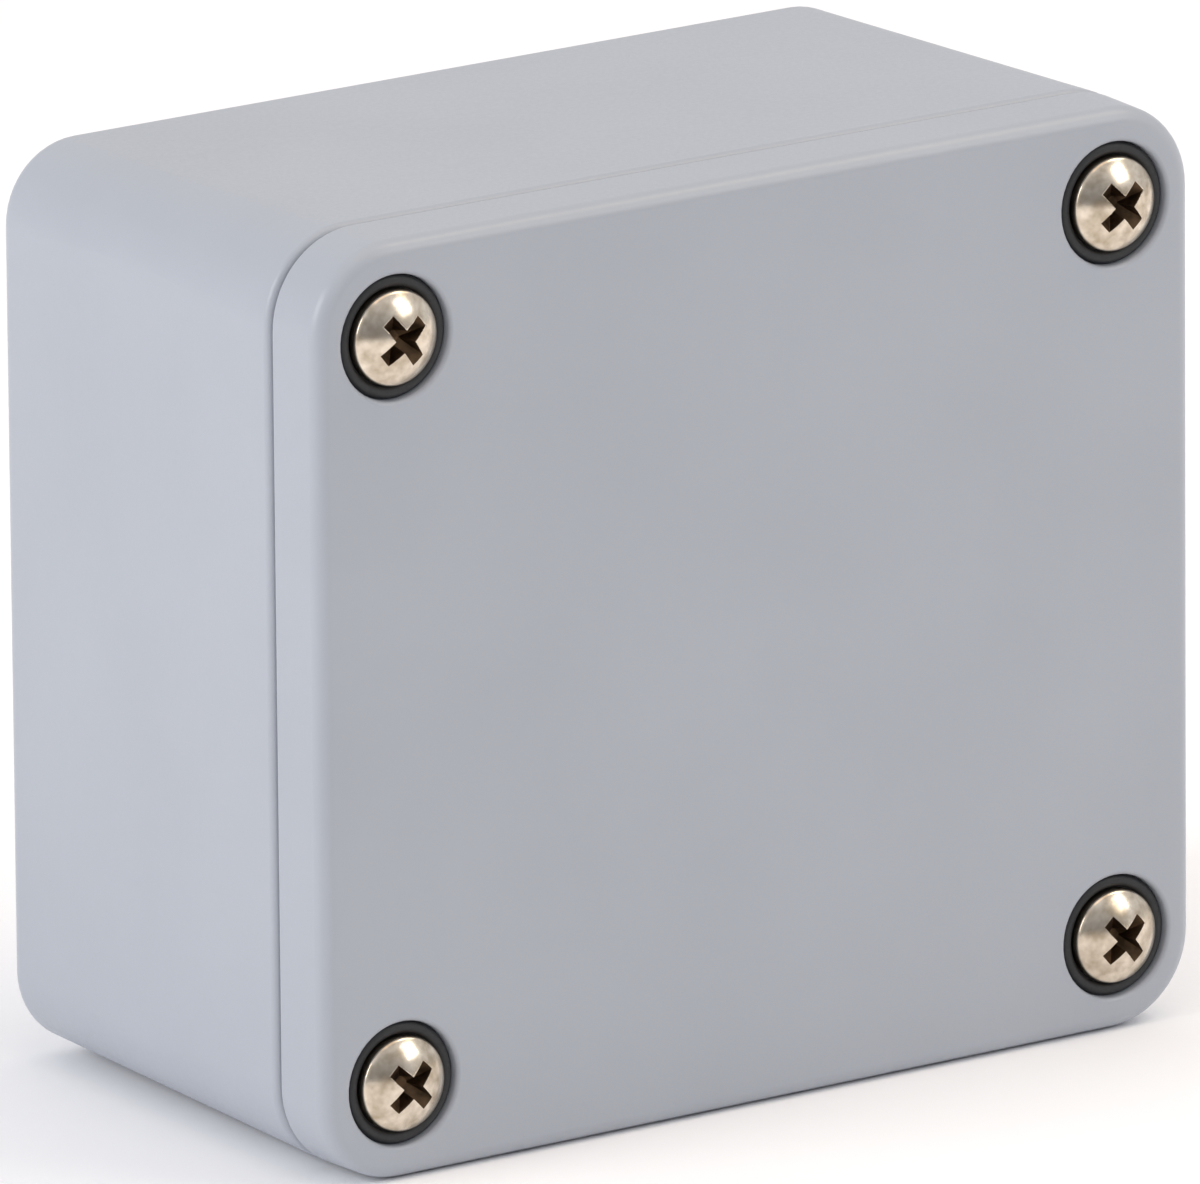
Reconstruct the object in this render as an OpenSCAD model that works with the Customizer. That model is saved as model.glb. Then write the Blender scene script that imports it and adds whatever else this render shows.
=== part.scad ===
// Small sealed die cast aluminium box: a deep base and a screwed-on lid with a gasket between them.
// The box stands on one long side. Its lid faces -Y and its wall-mounting back faces +Y.
// The castings are drawn lying on their back, with Z out of the wall, and stand() sets them up.

/* [Casing] */
// Width of the box, side to side
box_w = 64; // [60:1:90]
// Height of the box as it stands
box_h = 58; // [56:1:90]
// Depth of the base, from its back to the seam
base_d = 30; // [24:1:60]
// Depth of the lid, from the seam to its front
lid_d = 5; // [4.8:0.1:7]
// Radius of the four long corners
corner_r = 5.7; // [4:0.1:6.5]
// Thickness of the side walls at the rim
wall = 3; // [2.6:0.1:3.6]
// Thickness of the base's floor
floor_t = 3; // [2.5:0.1:5]
// How far each outer side of the base leans in, from the rim to the back
base_draft = 0.7; // [0.2:0.1:1]
// How far each inner wall leans in, from the rim to the floor
cavity_draft = 0.5; // [0.2:0.1:0.8]
// How far each side of the lid leans in, from the seam to its front
lid_draft = 0.1; // [0.05:0.05:0.3]

/* [Edges] */
// Radius of the lid's front edge
lid_edge_r = 1; // [0.8:0.1:2]
// Radius of the base's back edge
back_edge_r = 1.2; // [0.5:0.1:2]
// Radius of the edges that meet at the seam
seam_edge_r = 0.5; // [0.1:0.05:0.6]
// Height of the shadow gap between the castings, outside their meeting faces
seam_gap = 0.2; // [0.1:0.05:0.4]
// How far the shadow gap reaches in from the outside
seam_gap_w = 0.8; // [0.7:0.05:0.9]
// Radius where two walls of the cavity meet
pocket_r = 2; // [1.6:0.1:2.4]
// Radius where the cavity's walls meet its floor
floor_r = 1.2; // [0.5:0.1:1.4]

/* [Lid screws] */
// Distance of a lid screw from the left or right side
screw_inset_x = 5.8; // [5.4:0.1:7]
// Distance of a lid screw from the top or bottom side
screw_inset_y = 6; // [5.4:0.1:7]
// Radius of the post round a lid screw
post_r = 6.4; // [6.2:0.1:7]
// Thread diameter of a lid screw
thread_d = 3; // [2.5:0.1:3.5]
// Length of the threaded end of a lid screw
thread_h = 9; // [5:0.5:12]
// Diameter of the reduced neck that lets the screw turn freely in the lid
neck_d = 2.3; // [1.8:0.1:2.4]
// How far the neck reaches down into the base
neck_reach = 1; // [0:0.5:3]
// Length of the bare hole below the screw's tip
tap_spare = 3; // [1:0.5:6]
// Radial gap between the thread and the wall of its tapped hole
thread_gap = 0.03; // [0.01:0.01:0.08]
// Diameter of a screw head
head_d = 5.9; // [5.4:0.1:6.6]
// Height of a screw head
head_h = 1.9; // [1.7:0.1:2.6]
// Height of the straight side of a screw head, below its dome
head_side_h = 0.9; // [0.6:0.1:1.2]
// Diameter of the counterbore that the head sits in
counterbore_d = 7.7; // [7.2:0.1:8]
// Depth of the counterbore
counterbore_h = 1.6; // [1.5:0.1:2.6]
// Radius of the counterbore's mouth
mouth_r = 0.3; // [0.1:0.05:0.5]
// Diameter of the lid's clearance hole
clearance_d = 3.4; // [3.2:0.1:4]

/* [Cross recess] */
// Width across the wings of the recess, at the top of the head
recess_d = 3.6; // [3:0.1:4]
// Width of a wing at the top of the head
wing_w = 1.05; // [0.8:0.05:1.2]
// Width of a wing at the bottom of the recess
wing_tip_w = 0.6; // [0.4:0.05:0.75]
// Depth of the recess
recess_h = 1.5; // [1.2:0.1:1.6]
// How far each screw happens to be turned, in degrees
recess_turns = [38, 42, 45, 41]; // [0:1:90]

/* [Screw washers] */
// Outer diameter of the sealing washer under a head
seal_d = 7.6; // [6.8:0.1:7.6]
// Inner diameter of the sealing washer
seal_bore_d = 2.8; // [2.6:0.1:3.2]
// Thickness of the sealing washer
seal_t = 0.8; // [0.4:0.1:0.8]
// Height of that washer's raised rim, which fills the counterbore round the head
seal_rim_h = 1.3; // [0.9:0.1:1.4]
// Gap between the raised rim and the head
seal_gap = 0.05; // [0.02:0.01:0.1]
// Outer diameter of the washer that keeps the screw in the lid
retainer_d = 5.4; // [5:0.1:5.8]
// Inner diameter of that washer
retainer_bore_d = 2.5; // [2.4:0.1:2.7]
// Thickness of that washer
retainer_t = 0.8; // [0.6:0.1:1]
// Gap round that washer in its recess
retainer_gap = 0.15; // [0.1:0.05:0.3]

/* [Gasket] */
// Distance from the cavity's wall to the sealing rib on the rim
rib_inset = 0.25; // [0.2:0.05:0.4]
// Width of the sealing rib
rib_w = 1; // [0.8:0.1:1.2]
// Height of the sealing rib
rib_h = 0.8; // [0.5:0.1:1]
// Gap on each side of the rib in the lid's groove
groove_gap = 0.45; // [0.4:0.05:0.5]
// Thickness of the gasket in the groove
gasket_t = 1.3; // [1:0.1:1.5]
// Gap on each side of the gasket
gasket_gap = 0.05; // [0.02:0.01:0.1]
// Radius of the gasket's free edges
gasket_r = 0.3; // [0.1:0.05:0.4]
// Width of the lip that locates the lid in the base
lip_w = 1; // [0.8:0.1:1.2]
// How far the lip reaches into the base
lip_h = 1.2; // [0.8:0.1:2]
// Depth of the hollow in the lid's underside
lid_hollow_h = 2.2; // [1:0.1:2.4]

/* [Fixings] */
// Distance of a wall-fixing hole from the left or right side
fixing_inset = 6; // [5.6:0.1:7]
// Diameter of a wall-fixing hole
fixing_d = 4.5; // [3.5:0.1:5]
// Diameter of the channel that takes the fixing screw's head
channel_d = 7.8; // [7:0.1:8]
// Thickness of metal under the fixing screw's head
channel_floor_t = 5; // [3.5:0.1:8]
// Radius of the boss round a fixing channel
boss_r = 5.6; // [5.5:0.1:6.5]
// Distance of a board boss from the left or right side
board_inset_x = 15; // [13:0.5:18]
// Distance of a board boss from the top or bottom side
board_inset_y = 17; // [15:0.5:20]
// Diameter of a board boss at its top
board_boss_d = 6; // [5:0.1:7]
// How much wider the radius of a board boss is at its foot
boss_flare = 0.3; // [0.1:0.1:0.5]
// Height of a board boss above the floor
board_boss_h = 4; // [2:0.5:8]
// Diameter of the hole in a board boss, for a self-cutting or tapped thread
board_hole_d = 2.5; // [2:0.1:3.2]
// Depth of that hole
board_hole_h = 5.4; // [3:0.1:6]

/* [Hidden] */
$fn = 72;

// A length as a binary fraction, far finer than a micron. Sums of these are exact, so that
// pieces placed by different sums still meet.
function exact(x) = round(x * pow(2, 20)) / pow(2, 20);

over = 1; // how far a cutter runs past the face it cuts
far = 2 * (box_w + box_h + base_d); // beyond every part of a section
flat = 0.001; // a run shorter than this is left out
lap = 0.1; // how far the middle of a solid runs into the band round it

seam_z = exact(base_d);
front_z = seam_z + exact(lid_d);
floor_z = exact(floor_t);
outer_r = exact(corner_r);
counterbore_z = front_z - counterbore_h;
head_z = counterbore_z + seal_t;
head_top_z = head_z + head_h;
total_d = max(front_z, head_top_z);
neck_end_z = seam_z - neck_reach;
tip_z = neck_end_z - thread_h;
rib_x = rib_inset + rib_w / 2; // middle of the rib and groove, outwards of the cavity's wall
groove_x = rib_w / 2 + groove_gap; // half the groove's width
groove_h = rib_h + gasket_t;
lip_x = rib_x - groove_x; // outer face of the locating lip

pocket = exact(min(pocket_r, screw_inset_x - wall, screw_inset_y - wall, fixing_inset - wall));
foot_r = min(floor_r, pocket - cavity_draft);
hollow_inset = exact(lip_w - lip_x); // from the cavity's wall to the lid's hollow
hollow_pocket = pocket - hollow_inset;
hollow_z = seam_z - exact(lip_h + over); // where the cutter of the hollow starts

screw_places = [for (p = [[-1, 1], [1, 1], [-1, -1], [1, -1]])
    [p.x * (box_w / 2 - screw_inset_x), p.y * (box_h / 2 - screw_inset_y)]];
fixing_places = [for (s = [-1, 1]) [s * (box_w / 2 - fixing_inset), 0]];
board_places = [for (x = [-1, 1], y = [-1, 1])
    [x * (box_w / 2 - board_inset_x), y * (box_h / 2 - board_inset_y)]];

metal = "#b3b6bc";
steel = "#c9c3b8";
black_rubber = "#1d1e20";
nylon = "#e6e2d6";

// ---- Closed paths: a list of [x, y, corner radius], anticlockwise, with square turns ----

function point(path, i) = let (p = path[(i + len(path)) % len(path)]) [p.x, p.y];
function radius(path, i) = path[(i + len(path)) % len(path)].z;
function heading(path, i) = let (d = point(path, i + 1) - point(path, i)) d / norm(d);
function outward(path, i) = let (d = heading(path, i)) [d.y, -d.x];
function bearing(v) = atan2(v.y, v.x);
function run(path, i) =
    norm(point(path, i + 1) - point(path, i)) - radius(path, i) - radius(path, i + 1);
function centre(path, i) =
    point(path, i) + radius(path, i) * (heading(path, i) - heading(path, i - 1));
function turns_left(path, i) = cross(heading(path, i - 1), heading(path, i)) > 0;

// One quarter of a path, given for +X +Y, repeated by symmetry into a whole one.
function all_round(quarter) = let (back = [for (i = [len(quarter) - 1:-1:0]) quarter[i]]) concat(
    quarter,
    [for (p = back) [-p.x, p.y, p.z]],
    [for (p = quarter) [-p.x, -p.y, p.z]],
    [for (p = back) [p.x, -p.y, p.z]]
);

// Outline of the casing at the seam.
function outer_path() = all_round([[exact(box_w / 2), exact(box_h / 2), outer_r]]);

// Outline of the cavity at the rim, grown by g: it passes inside the screw posts and fixing bosses.
function inner_path(g = 0) =
    let (
        wall_x = box_w / 2 - wall + g,
        wall_y = box_h / 2 - wall + g,
        post_x = box_w / 2 - screw_inset_x - post_r + g,
        post_y = box_h / 2 - screw_inset_y - post_r + g,
        boss_x = box_w / 2 - fixing_inset - boss_r + g,
        boss_y = boss_r - g
    )
    all_round([for (p = [
        [boss_x, boss_y, boss_r - g],
        [wall_x, boss_y, pocket + g],
        [wall_x, post_y, pocket + g],
        [post_x, post_y, post_r - g],
        [post_x, wall_y, pocket + g]
    ]) [exact(p.x), exact(p.y), exact(p.z)]]);

// Carries a section round a path. In the section, X is outwards from the path and Y is up.
module along(path) {
    for (i = [0:len(path) - 1]) {
        if (run(path, i) > flat)
            translate(point(path, i + 1) - radius(path, i + 1) * heading(path, i))
                rotate([90, 0, bearing(outward(path, i))])
                    linear_extrude(run(path, i)) children();
        translate(centre(path, i))
            if (turns_left(path, i))
                rotate(bearing(outward(path, i - 1)))
                    rotate_extrude(angle = 90) intersection() {
                        translate([radius(path, i), 0]) children();
                        translate([0, -far]) square([far, 2 * far]);
                    }
            else
                rotate(bearing(outward(path, i - 1)) + 90)
                    rotate_extrude(angle = 90)
                        translate([radius(path, i), 0]) mirror([1, 0]) children();
    }
}

// The area inside a band that runs round the path, with a lap into the band.
// The band is as wide as the radius of the path's outward corners.
module core(path, band) {
    difference() {
        polygon([for (i = [0:len(path) - 1])
            let (
                c = centre(path, i),
                r = radius(path, i) + band - lap,
                before = outward(path, i - 1),
                after = outward(path, i)
            )
            each turns_left(path, i) ? [c + lap * (before + after)] : concat(
                run(path, i - 1) > flat ? [c - r * before] : [],
                [c],
                run(path, i) > flat ? [c - r * after] : []
            )]);
        for (i = [0:len(path) - 1])
            if (!turns_left(path, i) && run(path, i) > flat)
                translate(centre(path, i)) circle(radius(path, i) + band - lap);
    }
}

// A solid with the section's edge all round it, from height low to height high.
module solid_along(path, band, low, high) {
    along(path) children();
    translate([0, 0, low]) linear_extrude(high - low) core(path, band);
}

// A quarter disc about c, on the side that the signs in toward give.
module quarter(c, r, toward) {
    intersection() {
        translate(c) circle(r);
        polygon([c, c + [2 * r * toward.x, 0], c + 2 * r * toward, c + [0, 2 * r * toward.y]]);
    }
}

// Stands the lying box on its long side, with its origin below its middle.
module stand() {
    translate([0, exact(total_d / 2), exact(box_h / 2)]) rotate([90, 0, 0]) children();
}

// ---- Sections ----

module base_section() {
    foot = [-base_draft - back_edge_r, back_edge_r];
    top = [-seam_edge_r, seam_z - seam_edge_r];
    polygon([
        [-outer_r, 0], [foot.x, 0], foot, [-base_draft, foot.y],
        [0, top.y], top, [top.x, seam_z], [-outer_r, seam_z]
    ]);
    quarter(foot, back_edge_r, [1, -1]);
    quarter(top, seam_edge_r, [1, 1]);
}

module cavity_section() {
    foot = [-cavity_draft - foot_r, floor_z + foot_r];
    polygon([
        [-pocket, floor_z], [foot.x, floor_z], foot, [-cavity_draft, foot.y],
        [0, seam_z], [0, seam_z + over], [-pocket, seam_z + over]
    ]);
    quarter(foot, foot_r, [1, -1]);
}

module rib_section() {
    translate([rib_x - rib_w / 2, seam_z - rib_h / 2]) square([rib_w, 1.5 * rib_h]);
}

module lid_section() {
    low = seam_z + seam_gap;
    foot = [-seam_edge_r, low + seam_edge_r];
    top = [-lid_draft - lid_edge_r, front_z - lid_edge_r];
    polygon([
        [-outer_r, seam_z], [-seam_gap_w, seam_z], [-seam_gap_w, low],
        [foot.x, low], foot, [0, foot.y],
        [-lid_draft, top.y], top, [top.x, front_z], [-outer_r, front_z]
    ]);
    quarter(foot, seam_edge_r, [1, -1]);
    quarter(top, lid_edge_r, [1, 1]);
}

module groove_section() {
    translate([rib_x - groove_x, seam_z - over]) square([2 * groove_x, groove_h + over]);
}

module lip_section() {
    translate([lip_x - lip_w, seam_z - lip_h]) square([lip_w, lip_h]);
}

module hollow_section() {
    translate([-hollow_pocket, hollow_z])
        square([hollow_pocket, seam_z + exact(lid_hollow_h) - hollow_z]);
}

module gasket_section() {
    half = groove_x - gasket_gap;
    low = seam_z + rib_h;
    difference() {
        translate([rib_x - half, low]) square([2 * half, gasket_t]);
        for (s = [-1, 1]) difference() {
            translate([rib_x + s * (half - gasket_r / 2), low + gasket_r / 2])
                square(gasket_r, center = true);
            translate([rib_x + s * (half - gasket_r), low + gasket_r]) circle(gasket_r);
        }
    }
}

// ---- Castings ----

module base() color(metal) stand() {
    difference() {
        union() {
            difference() {
                solid_along(outer_path(), outer_r, 0, seam_z) base_section();
                solid_along(inner_path(), pocket, floor_z, seam_z + over) cavity_section();
            }
            along(inner_path()) rib_section();
            for (p = board_places)
                translate([p.x, p.y, floor_z / 2])
                    cylinder(h = floor_z / 2 + board_boss_h,
                        r1 = board_boss_d / 2 + boss_flare, r2 = board_boss_d / 2);
        }
        for (p = screw_places) translate(p) tapped_hole();
        for (p = fixing_places) translate(p) fixing_channel();
        for (p = board_places)
            translate([p.x, p.y, floor_z + board_boss_h - board_hole_h])
                cylinder(h = board_hole_h + over, d = board_hole_d);
    }
}

module tapped_hole() {
    r = thread_d / 2 + thread_gap;
    low = tip_z - tap_spare;
    translate([0, 0, low]) cylinder(h = seam_z + over - low, r = r);
    translate([0, 0, low - r / 2]) cylinder(h = r / 2, r1 = 0, r2 = r); // drill point
    translate([0, 0, seam_z - thread_gap - r / 4]) cylinder(h = r, r1 = r, r2 = 2 * r);
}

module fixing_channel() {
    translate([0, 0, -over]) cylinder(h = seam_z + 2 * over, d = fixing_d);
    translate([0, 0, channel_floor_t])
        cylinder(h = seam_z + over - channel_floor_t, d = channel_d);
}

module lid() color(metal) stand() {
    difference() {
        solid_along(outer_path(), outer_r, seam_z, front_z) lid_section();
        along(inner_path()) groove_section();
        solid_along(inner_path(-hollow_inset), hollow_pocket, hollow_z, seam_z + exact(lid_hollow_h))
            hollow_section();
        for (p = screw_places) translate(p) lid_hole();
    }
    along(inner_path()) lip_section();
}

module lid_hole() {
    translate([0, 0, seam_z - over]) cylinder(h = lid_d + 2 * over, d = clearance_d);
    translate([0, 0, seam_z - over])
        cylinder(h = retainer_t + over, d = retainer_d + 2 * retainer_gap);
    translate([0, 0, counterbore_z]) cylinder(h = counterbore_h + over, d = counterbore_d);
    translate([0, 0, front_z]) rotate_extrude() mouth_section(counterbore_d / 2, mouth_r);
}

// Flares a hole of radius r out to the face at Y = 0 with a rounded edge.
module mouth_section(r, edge) {
    difference() {
        translate([r - edge, -edge]) square([2 * edge, 2 * edge]);
        translate([r + edge, -edge]) circle(edge);
    }
}

module lid_gasket() color(black_rubber) stand() {
    along(inner_path()) gasket_section();
}

// ---- Fasteners ----

module lid_screw(i) color(steel) stand() translate(screw_places[i - 1]) {
    dome_h = head_h - head_side_h;
    dome_r = (pow(head_d / 2, 2) + pow(dome_h, 2)) / (2 * dome_h);
    chamfer = thread_d / 6;
    translate([0, 0, head_z]) difference() {
        intersection() {
            cylinder(h = head_h + over, d = head_d);
            translate([0, 0, head_h - dome_r]) sphere(dome_r);
        }
        translate([0, 0, head_h]) rotate(recess_turns[i - 1]) cross_recess();
    }
    translate([0, 0, neck_end_z]) cylinder(h = head_z - neck_end_z, d = neck_d);
    translate([0, 0, tip_z + chamfer])
        cylinder(h = neck_end_z - tip_z - chamfer, d = thread_d);
    translate([0, 0, tip_z])
        cylinder(h = chamfer, r1 = thread_d / 2 - chamfer, r2 = thread_d / 2);
}

// Two crossed wings with leaning flanks, inside a cone. The top of the head is at Z = 0.
module cross_recess() {
    slope = (recess_d - wing_tip_w) / 2 / recess_h;
    lean = (wing_w - wing_tip_w) / 2 / recess_h;
    intersection() {
        translate([0, 0, -recess_h]) cylinder(
            h = recess_h + over, r1 = wing_tip_w / 2, r2 = recess_d / 2 + slope * over);
        for (a = [0, 90]) rotate([90, 0, a]) translate([0, 0, -recess_d])
            linear_extrude(2 * recess_d) polygon([
                [-wing_tip_w / 2, -recess_h - over / 2], [wing_tip_w / 2, -recess_h - over / 2],
                [wing_w / 2 + lean * over, over], [-wing_w / 2 - lean * over, over]
            ]);
    }
}

module screw_seal(i) color(black_rubber) stand() translate(screw_places[i - 1])
    difference() {
        washer(counterbore_z, seal_rim_h, seal_d, seal_bore_d);
        translate([0, 0, head_z]) cylinder(h = seal_rim_h, d = head_d + 2 * seal_gap);
    }

module screw_retainer(i) color(nylon) stand() translate(screw_places[i - 1])
    washer(seam_z, retainer_t, retainer_d, retainer_bore_d);

module washer(low, t, outer_d, bore_d) {
    translate([0, 0, low]) difference() {
        cylinder(h = t, d = outer_d);
        translate([0, 0, -over]) cylinder(h = t + 2 * over, d = bore_d);
    }
}

base();
lid();
lid_gasket();
for (i = [1:4]) {
    lid_screw(i);
    screw_seal(i);
    screw_retainer(i);
}
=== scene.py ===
"""Dresses the small sealed die cast aluminium box and lights it for a plain studio picture.

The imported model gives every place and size. The castings keep their CAD form with their loose
triangles joined and their roundings shaded smoothly. The lid screws, their seals and their
retaining washers are modelled again here with threads, rounded edges and moulded rims.
"""

import logging
import math
from dataclasses import dataclass, field
from enum import Enum
from typing import Iterable, Sequence

import bmesh
import bpy
from mathutils import Matrix, Vector


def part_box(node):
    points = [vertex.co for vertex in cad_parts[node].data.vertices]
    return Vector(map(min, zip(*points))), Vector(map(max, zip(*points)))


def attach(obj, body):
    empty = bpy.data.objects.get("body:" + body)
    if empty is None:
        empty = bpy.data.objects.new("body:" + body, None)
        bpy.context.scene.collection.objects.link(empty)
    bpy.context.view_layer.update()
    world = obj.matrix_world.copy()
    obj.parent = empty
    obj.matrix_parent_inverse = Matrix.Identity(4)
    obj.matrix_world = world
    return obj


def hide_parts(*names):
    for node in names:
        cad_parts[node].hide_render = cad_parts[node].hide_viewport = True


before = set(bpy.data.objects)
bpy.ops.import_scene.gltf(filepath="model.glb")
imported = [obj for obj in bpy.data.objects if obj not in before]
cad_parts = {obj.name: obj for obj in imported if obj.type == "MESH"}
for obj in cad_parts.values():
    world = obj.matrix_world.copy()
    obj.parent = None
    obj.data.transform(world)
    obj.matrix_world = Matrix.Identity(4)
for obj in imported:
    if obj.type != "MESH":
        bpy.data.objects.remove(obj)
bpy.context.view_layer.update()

LOG = logging.getLogger("die_cast_box")
MM = 0.001
AXIS = (0.0, 0.0, 1.0)
SAME_POINT = 1e-7
BODY = "root"
# Most of a noise pattern lies between these values.
NOISE_SPAN = {"From Min": 0.3, "From Max": 0.7}
# How far the recess of each lid screw happens to be turned, in degrees.
RECESS_TURNS = (38.0, 42.0, 45.0, 41.0)


class Slot(Enum):
    """The record's material slots."""

    POWDER_COAT = "powder_coat"
    GASKET_RUBBER = "gasket_rubber"
    SCREW_STEEL = "screw_steel"
    NYLON = "nylon"


# ---- Colour and shader helpers ----


def srgb(hex_value: str) -> tuple[float, float, float, float]:
    """Turns an sRGB hex value into linear RGBA.

    Args:
        hex_value: A colour such as "#b4b7be".

    Returns:
        Linear red, green and blue, and an alpha of 1.
    """
    parts = [int(hex_value[i : i + 2], 16) / 255 for i in (1, 3, 5)]
    linear = [c / 12.92 if c <= 0.04045 else ((c + 0.055) / 1.055) ** 2.4 for c in parts]
    return (*linear, 1.0)


def add_node(tree: bpy.types.NodeTree, kind: str, inputs: dict[str | int, object] | None = None,
             **settings: object) -> bpy.types.Node:
    """Adds a node with its settings and links.

    Args:
        tree: The node tree that takes the node.
        kind: The node's Blender type, without its ShaderNode prefix.
        inputs: A value or an output socket for each input, by its name or its number.
        **settings: The node's own properties.

    Returns:
        The new node.
    """
    node = tree.nodes.new("ShaderNode" + kind)
    for name, value in settings.items():
        setattr(node, name, value)
    for name, value in (inputs or {}).items():
        if isinstance(value, bpy.types.NodeSocket):
            tree.links.new(value, node.inputs[name])
        else:
            node.inputs[name].default_value = value
    return node


# ---- Finishes ----


@dataclass(frozen=True)
class Finish:
    """A surface finish, made into a material once.

    Attributes:
        name: The material's name.
        colour: The sRGB base colour.
        roughness: The mean roughness.
        gloss_swing: How far the roughness rises where the finish's pattern is high.
    """

    name: str
    colour: str
    roughness: float
    gloss_swing: float = 0.05

    def material(self) -> bpy.types.Material:
        """Returns the finish's material, made the first time that it is asked for."""
        made = bpy.data.materials.get(self.name)
        if made is None:
            made = bpy.data.materials.new(self.name)
            made.use_nodes = True
            tree = made.node_tree
            shader = tree.nodes["Principled BSDF"]
            shader.inputs["Base Color"].default_value = srgb(self.colour)
            shader.inputs["Roughness"].default_value = self.roughness
            self.dress(tree, shader)
        return made

    def dress(self, tree: bpy.types.NodeTree, shader: bpy.types.Node) -> None:
        """Adds the finish's own detail to its shader.

        Args:
            tree: The material's node tree.
            shader: Its shader.
        """

    @staticmethod
    def noise(tree: bpy.types.NodeTree, size_mm: float, detail: float,
              stretch: tuple[float, float, float] = (1.0, 1.0, 1.0)) -> bpy.types.NodeSocket:
        """Adds a noise pattern in object space.

        Args:
            tree: The material's node tree.
            size_mm: The size of one feature in millimetres.
            detail: How many finer layers it has.
            stretch: How much finer the pattern is along each axis.

        Returns:
            The pattern's value, about 0.5 on average.
        """
        place = add_node(tree, "TexCoord").outputs["Object"]
        mapped = add_node(tree, "Mapping", {"Vector": place, "Scale": stretch})
        texture = add_node(tree, "TexNoise", {
            "Vector": mapped.outputs["Vector"], "Scale": 1 / (size_mm * MM),
            "Detail": detail, "Roughness": 0.5,
        })
        return texture.outputs["Fac"]

    @staticmethod
    def tinted(tree: bpy.types.NodeTree, shader: bpy.types.Node, pattern: bpy.types.NodeSocket,
               low: str, high: str) -> None:
        """Lets a shader's colour follow a pattern.

        Args:
            tree: The material's node tree.
            shader: The shader that takes the colour.
            pattern: The pattern.
            low: The sRGB colour where the pattern is low.
            high: The sRGB colour where the pattern is high.
        """
        share = add_node(tree, "MapRange", {"Value": pattern, **NOISE_SPAN}).outputs["Result"]
        # A Mix node's colours have numbers here, because its names find the plain values first.
        tone = add_node(tree, "Mix", {"Factor": share, 6: srgb(low), 7: srgb(high)},
                        data_type="RGBA")
        tree.links.new(tone.outputs[2], shader.inputs["Base Color"])

    def glossed(self, tree: bpy.types.NodeTree, shader: bpy.types.Node,
                pattern: bpy.types.NodeSocket) -> None:
        """Lets a shader's roughness follow a pattern.

        Args:
            tree: The material's node tree.
            shader: The shader that takes the roughness.
            pattern: The pattern.
        """
        ranged = add_node(tree, "MapRange", {
            "Value": pattern, **NOISE_SPAN,
            "To Min": self.roughness - self.gloss_swing,
            "To Max": self.roughness + self.gloss_swing,
        })
        tree.links.new(ranged.outputs["Result"], shader.inputs["Roughness"])

    @staticmethod
    def bumped(tree: bpy.types.NodeTree, shader: bpy.types.Node,
               layers: Iterable[tuple[bpy.types.NodeSocket, float]]) -> None:
        """Adds bump layers to a shader.

        Args:
            tree: The material's node tree.
            shader: The shader that takes the normal.
            layers: Each height pattern with its depth in millimetres.
        """
        normal = None
        for height, depth_mm in layers:
            inputs = {"Height": height, "Distance": depth_mm * MM, "Strength": 1.0}
            if normal is not None:
                inputs["Normal"] = normal
            normal = add_node(tree, "Bump", inputs).outputs["Normal"]
        tree.links.new(normal, shader.inputs["Normal"])


@dataclass(frozen=True)
class PowderCoat(Finish):
    """Polyester powder sprayed on a casting and baked.

    It gives a satin grey skin with the faint orange peel of melted powder, and slightly darker
    and lighter patches where the powder lay thinner or thicker.

    Attributes:
        thin: The sRGB colour where the powder lies thinnest.
        patch_mm: The size of the patches.
        peel_mm: The distance from one swell of the orange peel to the next.
        peel_depth_mm: The height of the orange peel.
        grain_mm: The size of the grains that did not flow out, about 0.05 mm in a real coat and
            drawn coarser to show.
        grain_depth_mm: Their height.
    """

    thin: str = "#b0b3ba"
    patch_mm: float = 14.0
    peel_mm: float = 1.3
    peel_depth_mm: float = 0.018
    grain_mm: float = 0.28
    grain_depth_mm: float = 0.0022

    def dress(self, tree: bpy.types.NodeTree, shader: bpy.types.Node) -> None:
        """Adds patches of tone, the peel, and grains that also change the gloss.

        Args:
            tree: The material's node tree.
            shader: Its shader.
        """
        patches = self.noise(tree, self.patch_mm, 2.0)
        peel = self.noise(tree, self.peel_mm, 1.0)
        grain = self.noise(tree, self.grain_mm, 1.0)
        self.tinted(tree, shader, patches, self.thin, self.colour)
        self.glossed(tree, shader, grain)
        self.bumped(tree, shader, [(peel, self.peel_depth_mm), (grain, self.grain_depth_mm)])


@dataclass(frozen=True)
class SyntheticRubber(Finish):
    """Moulded black nitrile rubber: nearly black, dull, with a fine mould grain.

    Attributes:
        grain_mm: The size of the mould's grain, drawn coarser than real to show.
        grain_depth_mm: Its depth.
    """

    grain_mm: float = 0.2
    grain_depth_mm: float = 0.006

    def dress(self, tree: bpy.types.NodeTree, shader: bpy.types.Node) -> None:
        """Adds the mould grain and a slightly uneven sheen.

        Args:
            tree: The material's node tree.
            shader: Its shader.
        """
        grain = self.noise(tree, self.grain_mm, 2.0)
        self.glossed(tree, shader, grain)
        self.bumped(tree, shader, [(grain, self.grain_depth_mm)])


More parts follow.
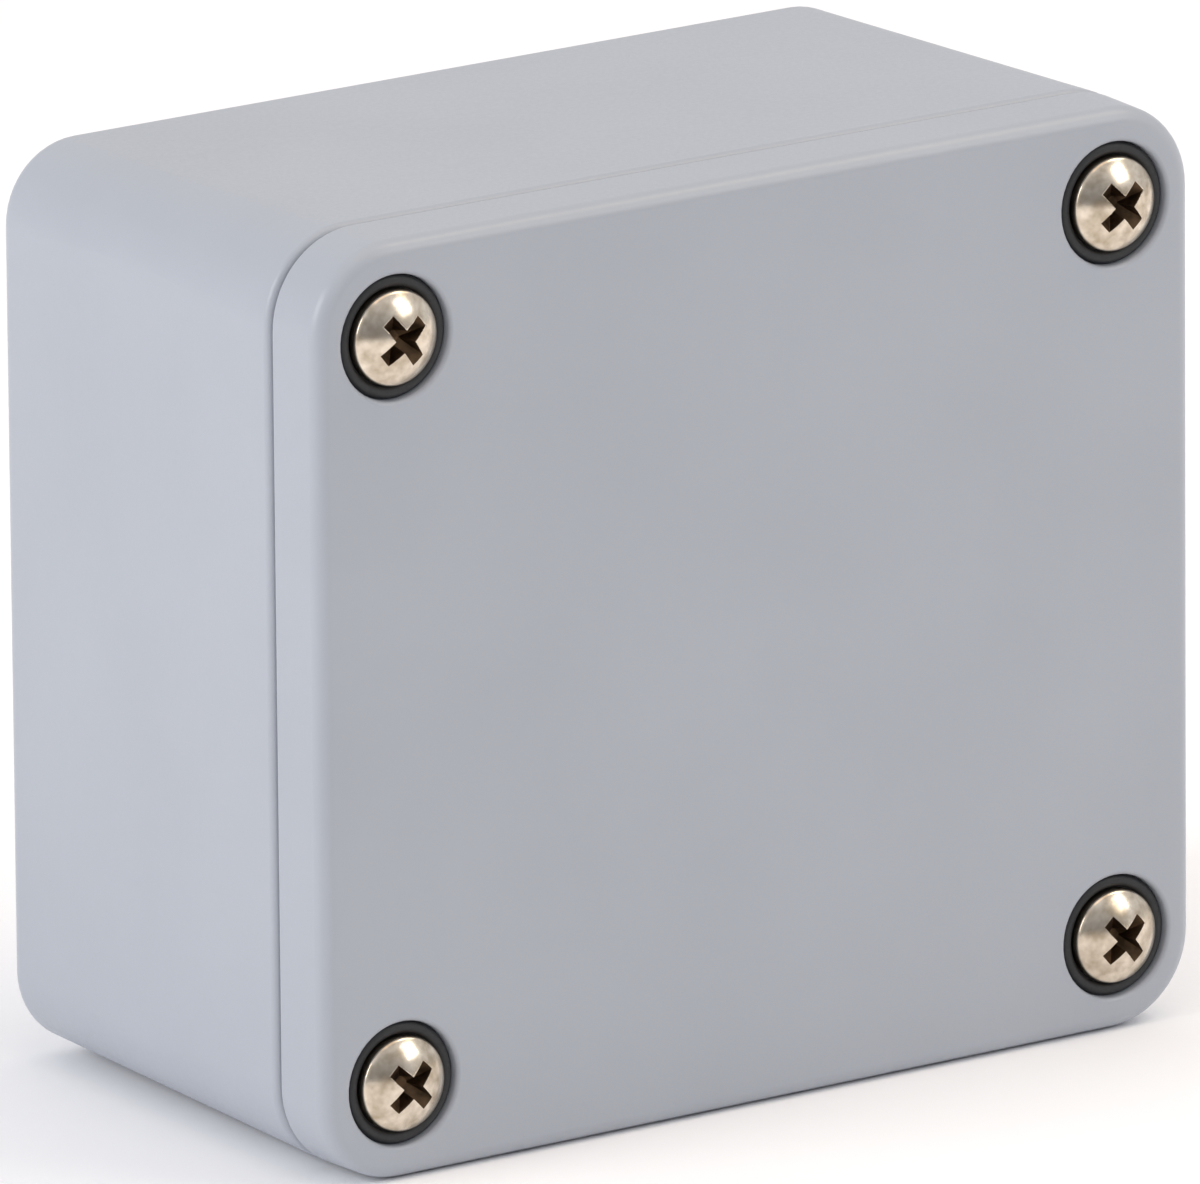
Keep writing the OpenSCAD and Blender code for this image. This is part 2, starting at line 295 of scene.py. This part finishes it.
@dataclass(frozen=True)
class ColdHeadedSteel(Finish):
    """Cold-headed stainless steel, tumbled bright: warm grey mirror with fine soft scratches.

    Attributes:
        dull: The sRGB colour in the duller spots, which are also rougher.
        spot_mm: The size of those spots.
        scratch_mm: The width of one tumbling scratch, drawn coarser than real to show.
        scratch_depth_mm: Its depth.
        scratch_stretch: How much finer the scratches are along each axis.
    """

    dull: str = "#b3a48f"
    spot_mm: float = 0.9
    scratch_mm: float = 0.12
    scratch_depth_mm: float = 0.0012
    scratch_stretch: tuple[float, float, float] = (1.0, 1.0, 0.35)

    def dress(self, tree: bpy.types.NodeTree, shader: bpy.types.Node) -> None:
        """Makes the shader metal and adds the scratches and duller spots.

        Args:
            tree: The material's node tree.
            shader: Its shader.
        """
        shader.inputs["Metallic"].default_value = 1.0
        spots = self.noise(tree, self.spot_mm, 2.0)
        scratches = self.noise(tree, self.scratch_mm, 3.0, self.scratch_stretch)
        self.tinted(tree, shader, spots, self.dull, self.colour)
        self.glossed(tree, shader, spots)
        self.bumped(tree, shader, [(scratches, self.scratch_depth_mm)])


@dataclass(frozen=True)
class NaturalNylon(Finish):
    """Moulded natural nylon: milky, slightly see-through and waxy.

    Attributes:
        haze_mm: The size of the unevenness that the mould leaves.
        haze_depth_mm: Its depth.
        see_through: The share of the light that goes under the skin.
        depth: How far red, green and blue light go there, in metres.
    """

    haze_mm: float = 0.6
    haze_depth_mm: float = 0.002
    see_through: float = 0.25
    depth: tuple[float, float, float] = (0.0006, 0.0005, 0.0004)

    def dress(self, tree: bpy.types.NodeTree, shader: bpy.types.Node) -> None:
        """Adds light under the skin and a faint unevenness.

        Args:
            tree: The material's node tree.
            shader: Its shader.
        """
        shader.inputs["Subsurface Weight"].default_value = self.see_through
        shader.inputs["Subsurface Radius"].default_value = self.depth
        shader.inputs["Subsurface Scale"].default_value = 1.0
        haze = self.noise(tree, self.haze_mm, 2.0)
        self.glossed(tree, shader, haze)
        self.bumped(tree, shader, [(haze, self.haze_depth_mm)])


@dataclass(frozen=True)
class BackdropPaper(Finish):
    """Matt white studio paper: an even white with a faint felt of fibres.

    Attributes:
        fibre_mm: The size of the felt, drawn coarser than real to show.
        fibre_depth_mm: Its depth.
    """

    fibre_mm: float = 1.5
    fibre_depth_mm: float = 0.02

    def dress(self, tree: bpy.types.NodeTree, shader: bpy.types.Node) -> None:
        """Adds the fibres and a slightly uneven sheen.

        Args:
            tree: The material's node tree.
            shader: Its shader.
        """
        fibres = self.noise(tree, self.fibre_mm, 2.0)
        self.glossed(tree, shader, fibres)
        self.bumped(tree, shader, [(fibres, self.fibre_depth_mm)])


POWDER_COAT = PowderCoat("powder_coat_silver_grey", "#a9aeb7", 0.36, 0.04, thin="#a6abb4")
GASKET_RUBBER = SyntheticRubber("nitrile_rubber_black", "#222326", 0.55, 0.08)
SCREW_STEEL = ColdHeadedSteel("stainless_steel_tumbled", "#e6dac9", 0.205, -0.045)
# The cross recesses take a darker brown copy of the screw steel: partly oxide, partly painted shade
# for the shadow inside the recess.
RECESS_OXIDE_AND_SHADE_STEEL = ColdHeadedSteel("stainless_steel_recess_oxide_and_painted_shade", "#6b5641", 0.455, -0.045,
                               dull="#3d3023")
NYLON = NaturalNylon("nylon_natural", "#e4e0d3", 0.45)
BACKDROP_PAPER = BackdropPaper("floor_paper_matt_white", "#fdfdff", 0.9)


# ---- Mesh helpers ----


def arc(centre: tuple[float, float], radius: float, start: float, stop: float,
        steps: int) -> list[tuple[float, float]]:
    """Gives points on an arc.

    Args:
        centre: Its centre, as radius from the axis and height.
        radius: Its radius.
        start: The first point's angle in degrees.
        stop: The last point's angle in degrees.
        steps: How many straight pieces it has.

    Returns:
        The points, first and last included.
    """
    angles = [math.radians(start + (stop - start) * i / steps) for i in range(steps + 1)]
    return [(centre[0] + radius * math.cos(a), centre[1] + radius * math.sin(a)) for a in angles]


def turned(profile: Sequence[tuple[float, float]], closed: bool, steps: int = 72) -> bmesh.types.BMesh:
    """Spins a profile round the Z axis.

    Args:
        profile: Points as radius and height, in millimetres.
        closed: Whether the last point joins the first.
        steps: How many faces go round.

    Returns:
        The turned mesh, closed and facing outwards.
    """
    mesh = bmesh.new()
    points = [mesh.verts.new((r * MM, 0.0, z * MM)) for r, z in profile]
    pairs = list(zip(points, points[1:])) + ([(points[-1], points[0])] if closed else [])
    edges = [mesh.edges.new(pair) for pair in pairs]
    bmesh.ops.spin(mesh, geom=[*points, *edges], cent=(0, 0, 0), axis=AXIS,
                   angle=math.tau, steps=steps, use_merge=True)
    bmesh.ops.remove_doubles(mesh, verts=mesh.verts, dist=SAME_POINT)
    bmesh.ops.recalc_face_normals(mesh, faces=mesh.faces)
    return mesh


def make_piece(name: str, mesh: bmesh.types.BMesh, place: Matrix,
               finishes: Sequence[Finish]) -> bpy.types.Object:
    """Turns a bmesh into a scene object with its place in its mesh.

    Args:
        name: The piece's name.
        mesh: Its shape, which is used up.
        place: Where it goes.
        finishes: Its finishes, one for each material index.

    Returns:
        The object, at the origin.
    """
    bmesh.ops.transform(mesh, matrix=place, verts=mesh.verts)
    data = bpy.data.meshes.new(name)
    mesh.to_mesh(data)
    mesh.free()
    for finish in finishes:
        data.materials.append(finish.material())
    piece = bpy.data.objects.new(name, data)
    bpy.context.scene.collection.objects.link(piece)
    return piece


def stand_at(node: str) -> Matrix:
    """Finds where a turned piece stands on a lid screw's axis.

    Args:
        node: The CAD node that the piece stands for.

    Returns:
        A matrix that puts the piece's foot at the node's back and points it to the lid's front.
    """
    low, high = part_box(node)
    centre = (low + high) / 2
    return Matrix.Translation((centre.x, high.y, centre.z)) @ Matrix.Rotation(math.pi / 2, 4, "X")


def shade(piece: bpy.types.Object, crease_deg: float) -> None:
    """Shades a piece smoothly, apart from edges sharper than an angle."""
    piece.data.shade_smooth()
    piece.data.set_sharp_from_angle(angle=math.radians(crease_deg))


def bake_modifiers(piece: bpy.types.Object) -> None:
    """Replaces a piece's mesh with the result of its modifiers.

    Args:
        piece: The piece, whose modifiers are used up.
    """
    graph = bpy.context.evaluated_depsgraph_get()
    result = bpy.data.meshes.new_from_object(piece.evaluated_get(graph))
    piece.modifiers.clear()
    old = piece.data
    piece.data = result
    result.name = piece.name
    bpy.data.meshes.remove(old)


def settle(piece: bpy.types.Object, node: str) -> bpy.types.Object:
    """Lets a piece stand for a CAD node.

    Args:
        piece: The finished piece.
        node: The CAD node that it replaces.

    Returns:
        The same piece.
    """
    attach(piece, BODY)
    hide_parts(node)
    LOG.info("%s stands for %s: %d faces", piece.name, node, len(piece.data.polygons))
    return piece


def dress_node(node: str, finish: Finish) -> None:
    """Gives a CAD node a finish.

    Args:
        node: The CAD node.
        finish: Its finish.
    """
    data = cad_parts[node].data
    data.materials.clear()
    data.materials.append(finish.material())


# ---- The box's own pieces ----


@dataclass
class Casting:
    """A die casting: its CAD form with the loose triangles joined and shaded smoothly.

    Attributes:
        node: The CAD node.
        name: The piece's name.
        finish: Its finish.
        slot: The record's slot; not used.
        crease_deg: Edges sharper than this stay crisp.
    """

    node: str
    name: str
    finish: Finish = POWDER_COAT
    slot: Slot = Slot.POWDER_COAT
    crease_deg: float = 32.0

    def build(self) -> bpy.types.Object:
        """Builds the piece over its CAD node.

        Returns:
            The finished piece.
        """
        mesh = bmesh.new()
        mesh.from_mesh(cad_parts[self.node].data)
        bmesh.ops.remove_doubles(mesh, verts=mesh.verts, dist=SAME_POINT)
        bmesh.ops.dissolve_degenerate(mesh, edges=mesh.edges, dist=SAME_POINT)
        piece = make_piece(self.name, mesh, Matrix.Identity(4), [self.finish])
        for polygon in piece.data.polygons:
            polygon.material_index = 0
        shade(piece, self.crease_deg)
        # Large flat faces decide the normals beside the narrow facets of a rounding.
        weighted = piece.modifiers.new("weighted_normals", "WEIGHTED_NORMAL")
        weighted.mode = "FACE_AREA"
        weighted.weight = 100
        weighted.keep_sharp = True
        dress_node(self.node, self.finish)
        return settle(piece, self.node)


@dataclass
class Thread:
    """A coarse screw thread's ridge, wound upwards round its core.

    Attributes:
        crest_r: The radius of its crest.
        foot_r: The radius of its foot, which stands just inside the core.
        crest_half: Half the width of its crest.
        foot_half: Half the width of its foot.
        pitch: The distance from turn to turn.
        start_h: The height of its first turn.
        turns: How many turns it has.
        steps: How many faces go round in one turn.
    """

    crest_r: float = 1.5
    foot_r: float = 1.15
    crest_half: float = 0.04
    foot_half: float = 0.24
    pitch: float = 0.5
    start_h: float = 0.6
    turns: int = 16
    steps: int = 32

    def ridge(self) -> bmesh.types.BMesh:
        """Winds the ridge.

        Returns:
            The mesh, closed at both ends.
        """
        section = [
            (self.foot_r, -self.foot_half), (self.crest_r, -self.crest_half),
            (self.crest_r, self.crest_half), (self.foot_r, self.foot_half),
        ]
        mesh = bmesh.new()
        face = mesh.faces.new([mesh.verts.new((r * MM, 0.0, (self.start_h + z) * MM))
                               for r, z in section])
        bmesh.ops.spin(mesh, geom=[face], cent=(0, 0, 0), axis=AXIS,
                       dvec=(0, 0, self.pitch * MM / self.steps),
                       angle=math.tau * self.turns, steps=self.turns * self.steps)
        bmesh.ops.recalc_face_normals(mesh, faces=mesh.faces)
        return mesh


@dataclass
class CrossPunch:
    """The punch that leaves a cross recess, with its tip below the head's top at Z = 0.

    Attributes:
        reach: Half the length across two wings, at the punch's upper end.
        half: Half the width of a wing there.
        above: How far that end stands out of the head.
        tip_reach: Half the length across two wings, at the tip.
        tip_half: Half the width of a wing there.
        depth: How deep the tip goes.
    """

    reach: float = 2.793
    half: float = 0.5586
    above: float = 0.6
    tip_reach: float = 0.3625
    tip_half: float = 0.29
    depth: float = 1.5

    def form(self) -> bmesh.types.BMesh:
        """Draws the cross and tapers it to the tip.

        Returns:
            The mesh.
        """
        quarter = [(self.reach, self.half), (self.half, self.half), (self.half, self.reach)]
        turns = [Matrix.Rotation(math.pi / 2 * turn, 3, "Z") for turn in range(4)]
        corners = [turn @ Vector((x, y, self.above)) for turn in turns for x, y in quarter]
        mesh = bmesh.new()
        cross = mesh.faces.new([mesh.verts.new(corner * MM) for corner in corners])
        tip = bmesh.ops.extrude_face_region(mesh, geom=[cross])["geom"]
        wing = (self.half + self.reach) / 2 * MM
        for vert in (part for part in tip if isinstance(part, bmesh.types.BMVert)):
            for axis in (0, 1):
                far = self.tip_reach if abs(vert.co[axis]) > wing else self.tip_half
                vert.co[axis] = math.copysign(far * MM, vert.co[axis])
            vert.co.z = -self.depth * MM
        bmesh.ops.recalc_face_normals(mesh, faces=mesh.faces)
        return mesh


@dataclass
class LidScrew:
    """A captive pan head screw with a cross recess, drawn from its tip at Z = 0 upwards.

    Attributes:
        number: Which of the four it is.
        turn_deg: How far its recess is turned.
        tip_r: The radius of its blunt tip.
        tip_h: The height of the taper above it.
        root_r: The radius of the thread's root.
        thread_h: The length of the threaded end.
        neck_r: The radius of the reduced neck.
        under_head: The height of the head's underside.
        under_r: The rounding of the head's underside, and of the neck where it meets it.
        head_r: The radius of the head.
        head_h: The height of the head.
        shoulder_r: The radius of its rounded shoulder.
        dome_r: The radius of its dome, which runs into the shoulder without a crease.
        weld: How near to each other the cut's corners are before they are joined.
        edge: The rounding of the recess's edges.
        steps: How many faces go round the head.
        crease_deg: Edges sharper than this stay crisp.
        thread: Its thread.
        punch: The punch for its recess.
    """

    number: int
    turn_deg: float
    tip_r: float = 0.84
    tip_h: float = 0.4
    root_r: float = 1.2
    thread_h: float = 9.0
    neck_r: float = 1.15
    under_head: float = 14.2
    under_r: float = 0.08
    head_r: float = 2.95
    head_h: float = 1.88
    shoulder_r: float = 0.45
    dome_r: float = 4.6
    weld: float = 0.02
    edge: float = 0.07
    steps: int = 96
    crease_deg: float = 38.0
    thread: Thread = field(default_factory=Thread)
    punch: CrossPunch = field(default_factory=CrossPunch)

    def head_top(self) -> float:
        """Returns the height of the dome's top."""
        return self.under_head + self.head_h

    def body(self) -> bmesh.types.BMesh:
        """Turns the head, neck and thread core as one closed form.

        Returns:
            The mesh.
        """
        dome_z = self.head_top() - self.dome_r
        shoulder_x, reach = self.head_r - self.shoulder_r, self.dome_r - self.shoulder_r
        shoulder_z = dome_z + math.sqrt(reach**2 - shoulder_x**2)
        tangent = math.degrees(math.acos(shoulder_x / reach))
        shoulder = arc((shoulder_x, shoulder_z), self.shoulder_r, 0, tangent, 8)
        dome = arc((0.0, dome_z), self.dome_r, tangent, 90, 14)[1:-1]
        rim, neck_top = self.head_r - self.under_r, self.under_head - self.under_r
        profile = [
            (0.0, 0.0), (self.tip_r, 0.0), (self.root_r, self.tip_h),
            (self.root_r, self.thread_h), (self.neck_r, self.thread_h + 0.1),
            (self.neck_r, neck_top), (self.neck_r + self.under_r, self.under_head),
            *arc((rim, self.under_head + self.under_r), self.under_r, -90, 0, 4),
            *shoulder, *dome, (0.0, self.head_top()),
        ]
        return turned(profile, closed=False, steps=self.steps)

    def sink_recess(self, screw: bpy.types.Object, stand: Matrix) -> None:
        """Cuts the cross recess and softens its edges.

        Args:
            screw: The plain screw, in its place.
            stand: That place.
        """
        place = (stand @ Matrix.Translation((0, 0, self.head_top() * MM))
                 @ Matrix.Rotation(math.radians(self.turn_deg), 4, "Z"))
        punch = make_piece("punch", self.punch.form(), place, [SCREW_STEEL, RECESS_OXIDE_AND_SHADE_STEEL])
        # The faces that the punch cuts take the dark recess steel, which is partly oxide and partly
        # painted shade.
        for polygon in punch.data.polygons:
            polygon.material_index = 1
        sink = screw.modifiers.new("recess", "BOOLEAN")
        sink.operation, sink.solver, sink.object = "DIFFERENCE", "EXACT", punch
        join = screw.modifiers.new("joined_slivers", "WELD")
        join.merge_threshold = self.weld * MM
        soften = screw.modifiers.new("soft_edges", "BEVEL")
        soften.width, soften.segments = self.edge * MM, 3
        soften.limit_method, soften.angle_limit = "ANGLE", math.radians(40)
        soften.use_clamp_overlap = True
        bake_modifiers(screw)
        bpy.data.objects.remove(punch)

    def add_thread(self, screw: bpy.types.Object, stand: Matrix) -> None:
        """Joins the thread's ridge to the screw.

        Args:
            screw: The screw, in its place.
            stand: That place.
        """
        ridge = self.thread.ridge()
        bmesh.ops.transform(ridge, matrix=stand, verts=ridge.verts)
        ridge.from_mesh(screw.data)
        ridge.to_mesh(screw.data)
        ridge.free()

    def build(self) -> bpy.types.Object:
        """Builds the screw in its place.

        Returns:
            The finished piece.
        """
        node = f"lid_screw_{self.number}"
        stand = stand_at(node)
        piece = make_piece(f"screw_{self.number}", self.body(), stand,
                           [SCREW_STEEL, RECESS_OXIDE_AND_SHADE_STEEL])
        self.sink_recess(piece, stand)
        self.add_thread(piece, stand)
        shade(piece, self.crease_deg)
        dress_node(node, SCREW_STEEL)
        return settle(piece, node)


@dataclass
class ScrewSeal:
    """A moulded rubber washer under a screw head, with a rounded rim that rises round the head.

    Attributes:
        number: Which screw it belongs to.
        bore_r: The radius of its bore.
        bore_edge: The chamfer at the bore's foot.
        outer_r: Its outer radius.
        foot_r: The rounding of its outer foot.
        inner_r: The inner radius of its rim.
        thickness: Its thickness under the head.
        rim_h: The height of its rim.
        crease_deg: Edges sharper than this stay crisp.
    """

    number: int
    bore_r: float = 1.4
    bore_edge: float = 0.05
    outer_r: float = 3.8
    foot_r: float = 0.12
    inner_r: float = 3.0
    thickness: float = 0.8
    rim_h: float = 1.3
    crease_deg: float = 40.0

    def build(self) -> bpy.types.Object:
        """Builds the seal in its place.

        Returns:
            The finished piece.
        """
        rim_r = (self.outer_r - self.inner_r) / 2
        profile = [
            (self.bore_r, self.bore_edge), (self.bore_r + self.bore_edge, 0.0),
            *arc((self.outer_r - self.foot_r, self.foot_r), self.foot_r, -90, 0, 4),
            *arc((self.outer_r - rim_r, self.rim_h - rim_r), rim_r, 0, 180, 12),
            (self.inner_r, self.thickness), (self.bore_r, self.thickness),
        ]
        node = f"screw_seal_{self.number}"
        piece = make_piece(f"seal_{self.number}", turned(profile, closed=True), stand_at(node),
                           [GASKET_RUBBER])
        shade(piece, self.crease_deg)
        dress_node(node, GASKET_RUBBER)
        return settle(piece, node)


@dataclass
class ScrewRetainer:
    """The nylon washer that keeps a screw in the lid, with a moulded rounding on its rims.

    Attributes:
        number: Which screw it belongs to.
        bore_r: The radius of its bore.
        outer_r: Its outer radius.
        thickness: Its thickness.
        edge_r: The rounding of its rims.
        crease_deg: Edges sharper than this stay crisp.
    """

    number: int
    bore_r: float = 1.25
    outer_r: float = 2.7
    thickness: float = 0.8
    edge_r: float = 0.15
    crease_deg: float = 40.0

    def build(self) -> bpy.types.Object:
        """Builds the washer in its place.

        Returns:
            The finished piece.
        """
        edge, inner, outer = self.edge_r, self.bore_r + self.edge_r, self.outer_r - self.edge_r
        top = self.thickness - edge
        profile = [
            *arc((outer, edge), edge, -90, 0, 4), *arc((outer, top), edge, 0, 90, 4),
            *arc((inner, top), edge, 90, 180, 4), *arc((inner, edge), edge, 180, 270, 4),
        ]
        node = f"screw_retainer_{self.number}"
        piece = make_piece(f"retainer_{self.number}", turned(profile, closed=True),
                           stand_at(node), [NYLON])
        shade(piece, self.crease_deg)
        dress_node(node, NYLON)
        return settle(piece, node)


# ---- The studio ----


@dataclass(frozen=True)
class Softbox:
    """A square studio light that faces the box.

    Attributes:
        name: Its name.
        toward: The direction from the box to the light.
        distance: How far away it is, in metres.
        size: Its side, in metres.
        watts: Its power.
        colour: Its sRGB colour.
    """

    name: str
    toward: tuple[float, float, float]
    distance: float
    size: float
    watts: float
    colour: str = "#ffffff"

    def build(self, aim: Vector) -> None:
        """Places the light.

        Args:
            aim: The point that it faces.
        """
        light = bpy.data.lights.new(self.name, "AREA")
        light.shape, light.size = "SQUARE", self.size
        light.energy, light.color = self.watts, srgb(self.colour)[:3]
        lamp = bpy.data.objects.new(self.name, light)
        way = Vector(self.toward).normalized()
        lamp.location = aim + way * self.distance
        lamp.rotation_mode = "QUATERNION"
        lamp.rotation_quaternion = way.to_track_quat("Z", "Y")
        bpy.context.scene.collection.objects.link(lamp)


@dataclass
class Studio:
    """A pale floor, soft light all round, four softboxes and a camera with a long lens.

    Attributes:
        azimuth_deg: How far the camera stands to the left of the lid's middle.
        elevation_deg: How far it looks down.
        roll_deg: How far it leans.
        distance: How far it is from the box, in metres.
        lens_mm: Its focal length.
        sensor_mm: The width of its sensor.
        clip: The nearest and farthest distance that it sees, in metres.
        offset: How far the aim lies right of and below the castings' centre, in metres.
        floor_r: The radius of the floor, in metres.
        floor_reach: How far the floor reaches in front of the box, in metres.
        paper: The floor's finish.
        sky: The strength of the light all round.
        sky_colour: Its sRGB colour.
        dim_sky: Its strength at the unlit end of the studio, behind the camera.
        dim_way: The direction of that end.
        dim_span: The cosines from that direction where the dimming starts and is full.
        softboxes: The lights.
    """

    azimuth_deg: float = 34.61
    elevation_deg: float = 15.65
    roll_deg: float = -0.47
    distance: float = 1.442
    lens_mm: float = 715.3
    sensor_mm: float = 36.0
    clip: tuple[float, float] = (0.05, 20.0)
    offset: tuple[float, float] = (0.000281, -0.000827)
    floor_r: float = 3.0
    floor_reach: float = 0.45
    paper: Finish = BACKDROP_PAPER
    sky: float = 0.77
    sky_colour: str = "#fbfcff"
    dim_sky: float = 0.3
    dim_way: tuple[float, float, float] = (-0.25, -0.92, -0.3)
    dim_span: tuple[float, float] = (0.35, 0.95)
    softboxes: list[Softbox] = field(default_factory=lambda: [
        Softbox("overhead_softbox", (0.05, -0.15, 1.0), 0.9, 0.7, 0.9, "#ffd8a8"),
        Softbox("edge_softbox", (0.55, -0.22, 0.8), 0.8, 0.34, 1.3, "#fff1dc"),
        Softbox("right_softbox", (0.54, -0.66, 0.5), 0.8, 0.3, 1.0, "#fffaf2"),
        Softbox("left_softbox", (-0.95, 0.1, 0.42), 0.8, 0.4, 2.55),
    ])

    def camera(self, centre: Vector) -> None:
        """Sets up the camera.

        Args:
            centre: The middle of the castings.
        """
        turn = (Matrix.Rotation(-math.radians(self.azimuth_deg), 4, "Z")
                @ Matrix.Rotation(math.radians(90 - self.elevation_deg), 4, "X"))
        right, up = turn.col[0].to_3d(), turn.col[1].to_3d()
        aim = centre + right * self.offset[0] + up * self.offset[1]
        data = bpy.data.cameras.new("camera")
        data.lens, data.sensor_width = self.lens_mm, self.sensor_mm
        data.clip_start, data.clip_end = self.clip
        camera = bpy.data.objects.new("camera", data)
        camera.matrix_world = (Matrix.Translation(aim) @ turn
                               @ Matrix.Rotation(math.radians(self.roll_deg), 4, "Z")
                               @ Matrix.Translation((0, 0, self.distance)))
        bpy.context.scene.collection.objects.link(camera)
        bpy.context.scene.camera = camera

    def floor(self) -> None:
        """Lays the floor under the box."""
        mesh = bmesh.new()
        bmesh.ops.create_circle(mesh, cap_ends=True, segments=96, radius=self.floor_r)
        back = Matrix.Translation((0, self.floor_r - self.floor_reach, 0))
        make_piece("floor", mesh, back, [self.paper])

    def world(self) -> None:
        """Lights the scene softly from all round, with less light from behind the camera."""
        world = bpy.data.worlds.new("studio")
        world.use_nodes = True
        tree = world.node_tree
        background = tree.nodes["Background"]
        background.inputs["Color"].default_value = srgb(self.sky_colour)
        way = add_node(tree, "TexCoord").outputs["Generated"]
        toward = add_node(tree, "VectorMath", {0: way, 1: Vector(self.dim_way).normalized()},
                          operation="DOT_PRODUCT").outputs["Value"]
        dimmed = add_node(tree, "MapRange", {
            "Value": toward, "From Min": self.dim_span[0], "From Max": self.dim_span[1],
            "To Min": self.sky, "To Max": self.dim_sky,
        }, interpolation_type="SMOOTHSTEP")
        tree.links.new(dimmed.outputs["Result"], background.inputs["Strength"])
        bpy.context.scene.world = world

    def build(self) -> None:
        """Sets up the floor, the light and the camera."""
        corners = [corner for node in ("base", "lid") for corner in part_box(node)]
        low = Vector([min(c[i] for c in corners) for i in range(3)])
        high = Vector([max(c[i] for c in corners) for i in range(3)])
        centre = (low + high) / 2
        self.floor()
        self.world()
        for softbox in self.softboxes:
            softbox.build(centre)
        self.camera(centre)
        bpy.context.scene.view_settings.view_transform = "Standard"
        LOG.info("studio ready, castings centred on %s", tuple(round(c, 5) for c in centre))


def main() -> None:
    """Builds every piece and the studio."""
    logging.basicConfig(level=logging.INFO, format="%(name)s: %(message)s")
    Casting("base", "base_casting").build()
    Casting("lid", "lid_casting").build()
    Casting("lid_gasket", "gasket_ring", GASKET_RUBBER, Slot.GASKET_RUBBER).build()
    for number, turn_deg in enumerate(RECESS_TURNS, start=1):
        LidScrew(number, turn_deg).build()
        ScrewSeal(number).build()
        ScrewRetainer(number).build()
    Studio().build()


if __name__ == "__main__":
    main()
